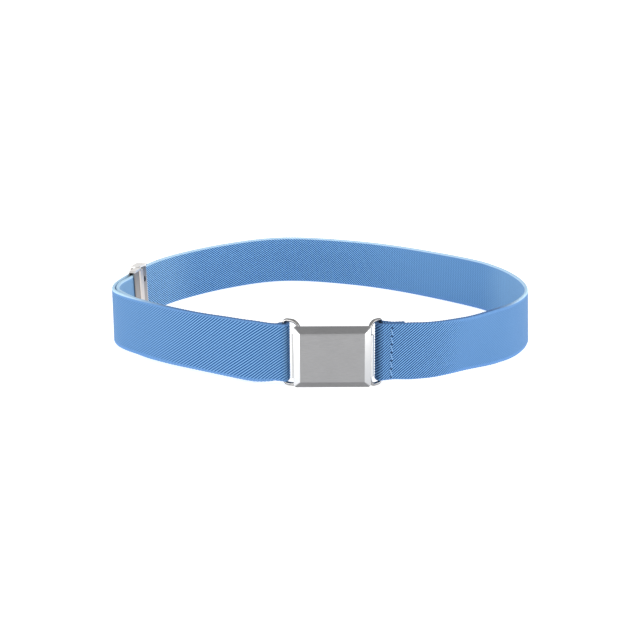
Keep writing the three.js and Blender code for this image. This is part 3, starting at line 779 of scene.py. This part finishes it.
SLIDE_FROM_RING = 128  # along the strap, from the left ring
SLIDE_HEIGHT = 28.8
SLIDE_MIDDLE, one_ahead = on_route(ROUTE_LENGTH - SLIDE_FROM_RING - np.arange(2), 0)
slide_ahead = (one_ahead - SLIDE_MIDDLE) / np.linalg.norm(one_ahead - SLIDE_MIDDLE)
PLATED_STREAKS, PLATED_DARK, PLATED_LIGHT = (900, 900, 3000), (0.9, 0.9, 0.9, 1), (1, 1, 1, 1)
END_WALL_PAINTED_HIGHLIGHT = (0.85, 0.83, 0.81, 1)
BAND_EDGE = 0.2


def plated(name, first_tone, bands):
    """Nickel-plated steel in bands of painted light and shade along the slide, each given by its start and
    tone.
    """
    material, shader, grain = brushed(name, PLATED_DARK, PLATED_LIGHT, PLATED_STREAKS, 0.5)
    place = grain.node("ShaderNodeTexCoord", {}, {}, OBJECT_PLACE)
    along_slide = (slide_ahead[0] / MM, slide_ahead[1] / MM, 0)
    ahead = grain.node("ShaderNodeVectorMath", {"operation": "DOT_PRODUCT"}, {0: place, 1: along_slide}, 1)
    ahead = ahead - float(slide_ahead @ SLIDE_MIDDLE)
    tone = first_tone
    for band_start, band_tone in bands:
        tone = ahead.between(band_start - BAND_EDGE, band_start + BAND_EDGE).blend(tone, band_tone)
    # The end walls at top and bottom are painted pale: a painted highlight.
    from_middle = grain.math("ABSOLUTE", place.part(2) * (1 / MM) - SLIDE_HEIGHT / 2)
    end_wall_highlight = from_middle.between(SLIDE_HEIGHT / 2 - 1.0, SLIDE_HEIGHT / 2 - 0.7)
    feed(shader, "Base Color", grain.node(
        "ShaderNodeMix", {"data_type": "RGBA", "blend_type": "MULTIPLY"},
        {0: 1.0, 6: end_wall_highlight.blend(tone, END_WALL_PAINTED_HIGHLIGHT), 7: grain}, 2))
    return material


# Dark bands are painted shade in the gaps between jaw, flap and walls; pale bands are painted light on the
# raised faces and on the flap's teeth.
jaw_steel = plated("jaw_steel", (0.33, 0.295, 0.27, 1), [
    (-4, (0.12, 0.11, 0.10, 1)),
    (-2, (0.5, 0.46, 0.43, 1)),
])
flap_steel = plated("flap_steel", (0.12, 0.11, 0.10, 1), [
    (-2.6, (0.66, 0.60, 0.55, 1)),
    (1.6, (0.36, 0.325, 0.30, 1)),
    (6.2, (0.82, 0.78, 0.74, 1)),
])
finish_node("slide_frame", jaw_steel, 0.1)
finish_node("slide_lever", flap_steel, 0.1)


# The sewing: one row of lock stitch across the strap beside the right ring, in the strap's own blue,
# through the outer layer and the tail behind it. With it the strap is complete.

THREAD_DARK, THREAD_LIGHT = (0.10, 0.25, 0.50, 1), (0.29, 0.52, 0.83, 1)
THREAD_RADIUS, THREAD_SIDES = 0.22, 8
STITCHES = 6
STITCH_SLANT = 0.9
STITCH_SUNK, STITCH_BOW = 0.2, 0.36

thread_blue, thread_shader, start = new_finish("sewing_thread", Roughness=0.6, Sheen_Weight=0.2)
ply = start.noise(start.node("ShaderNodeTexCoord", {}, {}, OBJECT_PLACE), 4000.0, 2.0)
feed(thread_shader, "Base Color", ply.blend(THREAD_DARK, THREAD_LIGHT))
feed(thread_shader, "Normal", ply.bump(0.4, 0.05))

climb = np.linspace(0, 1, 13)
stitch_along = OUTER_START + STITCH_FROM_RING + (0.5 - climb) * STITCH_SLANT
stitch_out = STRAP_THICKNESS / 2 - STITCH_SUNK + STITCH_BOW * np.sin(climb * math.pi) ** 0.5
stitches = []
for k in range(STITCHES):
    height = STITCH_START + (k + 0.1 + 0.8 * climb) * STITCH_LENGTH
    stitch_line = on_strap(stitch_along, height, stitch_out)
    stitches.append(round_wire(f"stitch_{k}", stitch_line, THREAD_RADIUS, False, thread_blue, THREAD_SIDES))
sewing = join_pieces("stitch_row", stitches)
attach(sewing, "belt")


# The studio: a wide pale floor, a pale surround that darkens overhead and soft lamps at both sides,
# with the camera in front, a little above the belt.

FLOOR_REACH = 40000
PAPER_DARK, PAPER_LIGHT = (0.93, 0.93, 0.93, 1), (0.96, 0.96, 0.96, 1)
floor_finish, floor_shader, start = new_finish(
    "pale_floor", Roughness=0.9, Emission_Color=(1, 1, 1, 1), Emission_Strength=0.6)
paper = start.noise(start.node("ShaderNodeTexCoord", {}, {}, OBJECT_PLACE), 40.0)
feed(floor_shader, "Base Color", paper.blend(PAPER_DARK, PAPER_LIGHT))
floor_corners = [(x * FLOOR_REACH, y * FLOOR_REACH, 0) for x, y in ((-1, -1), (1, -1), (1, 1), (-1, 1))]
floor = mesh_piece("floor", floor_corners, [(0, 1, 2, 3)], floor_finish)

SURROUND_LOW, SURROUND_HIGH = (1.12, 1.12, 1.12, 1), (0.85, 0.85, 0.85, 1)
studio = bpy.data.worlds.new("studio")
bpy.context.scene.world = studio
studio.use_nodes = True
background = studio.node_tree.nodes["Background"]
overhead = Shade(studio.node_tree, None).node("ShaderNodeTexCoord", {}, {}).part(2)
feed(background, "Color", overhead.between(0.08, 0.8).blend(SURROUND_LOW, SURROUND_HIGH))
background.inputs["Strength"].default_value = 0.9


def soft_lamp(name, place, aim, size, power):
    """A rectangular lamp that stands at a place and points at its aim, both in metres."""
    lamp = bpy.data.lights.new(name, "AREA")
    lamp.shape = "RECTANGLE"
    lamp.size, lamp.size_y = size
    lamp.energy = power
    stand = bpy.data.objects.new(name, lamp)
    bpy.context.scene.collection.objects.link(stand)
    stand.location = place
    stand.rotation_euler = (Vector(aim) - Vector(place)).to_track_quat("-Z", "Y").to_euler()


SIDE_LAMP_AIM, SIDE_LAMP_SIZE = (0, -0.08, 0.01), (0.5, 0.12)
soft_lamp("front", (0.35, -0.95, 0.5), (0, 0, 0), (0.6, 0.6), 1.8)
soft_lamp("left", (-0.6, -0.2, 0.06), SIDE_LAMP_AIM, SIDE_LAMP_SIZE, 1.2)
soft_lamp("right", (0.6, -0.2, 0.06), SIDE_LAMP_AIM, SIDE_LAMP_SIZE, 1.0)

PHOTO_FOCAL = 950 / 640  # focal length over the picture's width, both in pixels
SENSOR_WIDTH = 36
CAMERA_PLACE = (0.67, -438.25, 153.85)
CAMERA_TURN = (71.103, 0.280, -0.004)  # degrees
camera = bpy.data.cameras.new("camera")
camera.sensor_width = SENSOR_WIDTH
camera.lens = SENSOR_WIDTH * PHOTO_FOCAL
camera_stand = bpy.data.objects.new("camera", camera)
bpy.context.scene.collection.objects.link(camera_stand)
camera_stand.location = Vector(CAMERA_PLACE) * MM
camera_stand.rotation_euler = tuple(math.radians(angle) for angle in CAMERA_TURN)
bpy.context.scene.camera = camera_stand
bpy.context.scene.view_settings.view_transform = "Standard"
